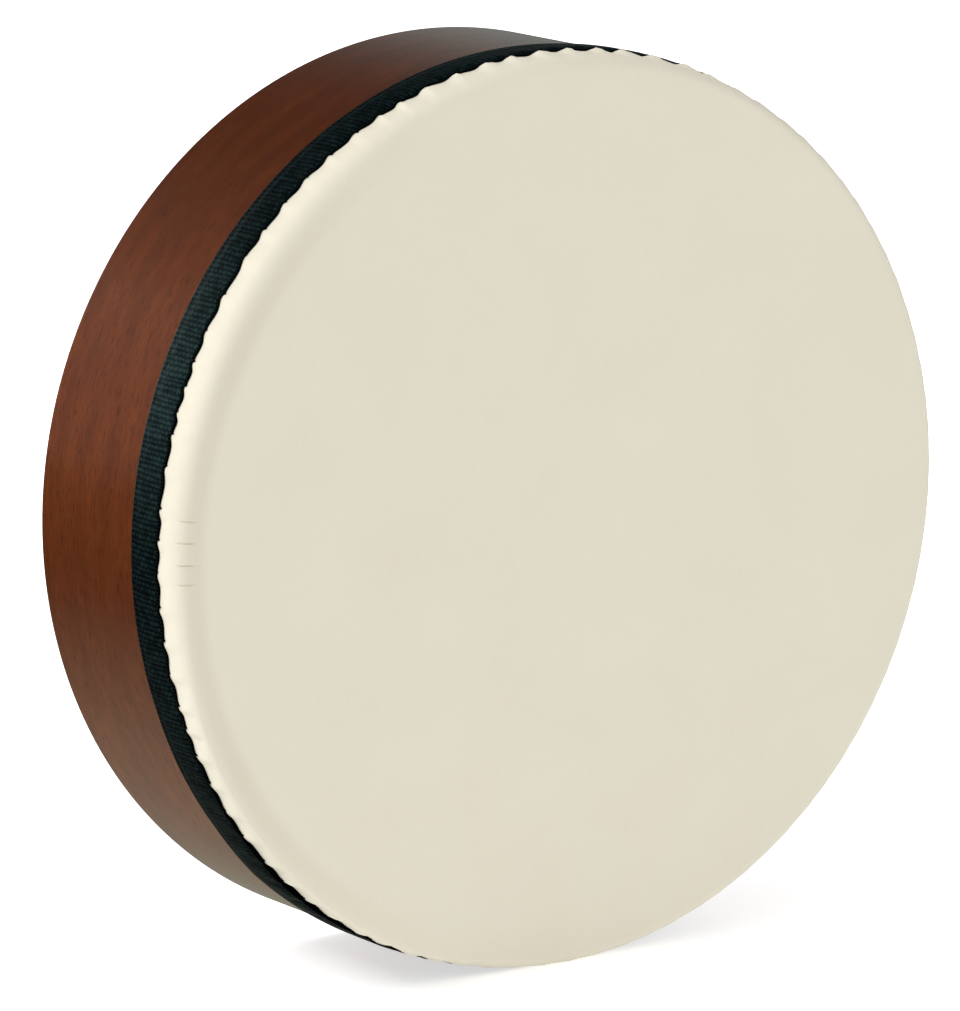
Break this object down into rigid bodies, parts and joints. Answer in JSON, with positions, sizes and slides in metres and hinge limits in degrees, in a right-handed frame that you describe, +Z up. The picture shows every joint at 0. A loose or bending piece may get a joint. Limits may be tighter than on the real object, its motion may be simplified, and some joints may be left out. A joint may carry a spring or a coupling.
{
  "type": "bendir",
  "caption": "Round one-headed frame drum with a bent wooden shell, cream head, scalloped woven edge band, thumb hole and a gut snare tightened by a friction peg inside.",
  "frame": {"origin": "on the ground under the middle of the drum, which stands on its rim", "axes": "+Y along the drum's axis towards the open back, so the head faces -Y; +Z up; +X to the right as seen facing the head"},
  "size_m": [0.3594, 0.096, 0.3594],
  "materials": {
    "stained_wood": "bent veneer, red-brown stain under satin lacquer",
    "inner_wood": "bent ply, stained and left matt inside",
    "membrane": "cream synthetic skin, matt",
    "webbing": "dark green-black woven webbing",
    "gut": "twisted dried gut, slightly glossy",
    "rosewood": "turned dark hardwood, oiled",
    "beech": "sawn and sanded beech, unstained",
    "brass": "turned brass, dulled"
  },
  "bodies": {
    "drum": {"shell_outer_ply": "stained_wood", "shell_inner_ply": "inner_wood", "drum_head": "membrane", "edge_band": "webbing", "snare_gut": "gut", "peg_block": "beech", "peg_bridge": "rosewood", "peg_bridge_screw_1": "brass", "peg_bridge_screw_2": "brass", "anchor_block": "beech", "anchor_pin": "brass", "anchor_bridge": "rosewood", "anchor_bridge_screw_1": "brass", "anchor_bridge_screw_2": "brass"},
    "peg": {"snare_peg": "rosewood", "gut_winding": "gut"}
  },
  "joints": [
    {"name": "peg_turn", "type": "hinge", "parent": "drum", "child": "peg", "pos_m": [0, -0.0211, 0.02779], "axis": [0, 1, 0], "range_deg": [-90, 450]}
  ]
}
